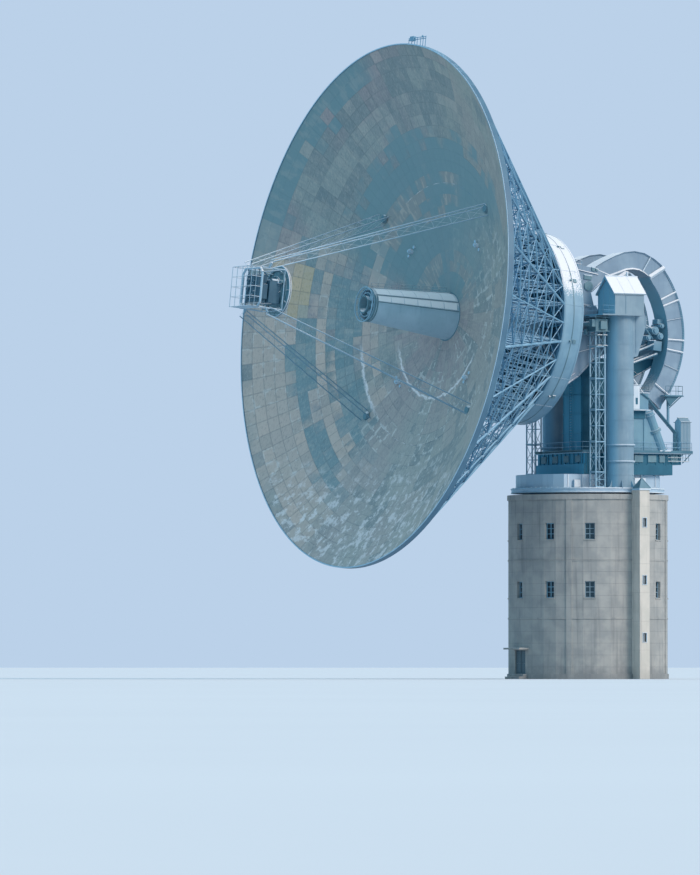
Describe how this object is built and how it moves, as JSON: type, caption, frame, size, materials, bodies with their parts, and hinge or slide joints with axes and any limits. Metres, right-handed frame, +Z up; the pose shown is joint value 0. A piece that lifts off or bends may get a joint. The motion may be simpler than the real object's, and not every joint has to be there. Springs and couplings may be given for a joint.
{
  "type": "half-size model of a radio telescope dish on a turning mount",
  "caption": "Round reflector dish with rear truss, ring girder, feed cone and sub-reflector on legs, tilting between the columns of a mount that turns on a round tower.",
  "frame": {"origin": "on the ground at the turning mount's upright axis", "axes": "+Z up; the dish faces -Y at rest, raised 6 degrees; +X along the elevation axis, to the side of the lift tower"},
  "size_m": [32, 30.0962, 38.8778],
  "materials": {
    "panels": "matte",
    "truss": "satin",
    "ring": "satin",
    "arcs": "satin",
    "mount": "satin",
    "dark": "matte",
    "house": "satin",
    "feed": "satin",
    "concrete": "matte",
    "render": "matte",
    "glass": "polished",
    "door": "satin"
  },
  "bodies": {
    "base": {"foundation": "concrete", "tower_wall_east": "concrete", "tower_wall_north": "concrete", "tower_wall_west": "concrete", "tower_wall_south": "concrete", "tower_floor_1": "concrete", "tower_floor_2": "concrete", "window_glass_1": "glass", "window_glass_2": "glass", "tower_roof": "concrete", "entrance_door": "door", "lift_tower": "render", "lift_tower_roof": "house"},
    "alidade": {"turntable": "mount", "platform_rooms": "dark", "platform_deck": "mount", "rear_stair_head": "house", "central_pier": "dark", "elevation_drives": "mount", "column_right": "mount", "column_left": "mount", "bearing_house_right": "house", "bearing_house_left": "house", "ladder_tower_right": "truss", "ladder_tower_left": "truss", "side_frame_right": "mount", "side_frame_left": "mount"},
    "reflector": {"dish_panels_1": "panels", "dish_panels_2": "panels", "dish_panels_3": "panels", "dish_panels_4": "panels", "dish_panels_5": "panels", "dish_panels_6": "panels", "dish_panels_7": "panels", "dish_panels_8": "panels", "back_truss_1": "truss", "back_truss_2": "truss", "back_truss_3": "truss", "back_truss_4": "truss", "back_truss_5": "truss", "back_truss_6": "truss", "back_truss_7": "truss", "back_truss_8": "truss", "ring_girder": "ring", "receiver_tube": "feed", "feed_cone": "feed", "feed_horns": "dark", "sub_reflector": "panels", "feed_cabin": "truss", "feed_leg_1": "truss", "feed_leg_2": "truss", "feed_leg_3": "truss", "feed_leg_4": "truss", "hub_frame": "arcs", "elevation_shaft": "mount", "elevation_arc_right": "arcs", "elevation_arc_left": "arcs", "rim_rail": "truss"}
  },
  "joints": [
    {"name": "azimuth_turn", "type": "hinge", "parent": "base", "child": "alidade", "pos_m": [0, 0, 0], "axis": [0, 0, 1], "range_deg": [-270, 270]},
    {"name": "elevation_tilt", "type": "hinge", "parent": "alidade", "child": "reflector", "pos_m": [0, 0, 21], "axis": [-1, 0, 0], "range_deg": [-6, 84]}
  ]
}
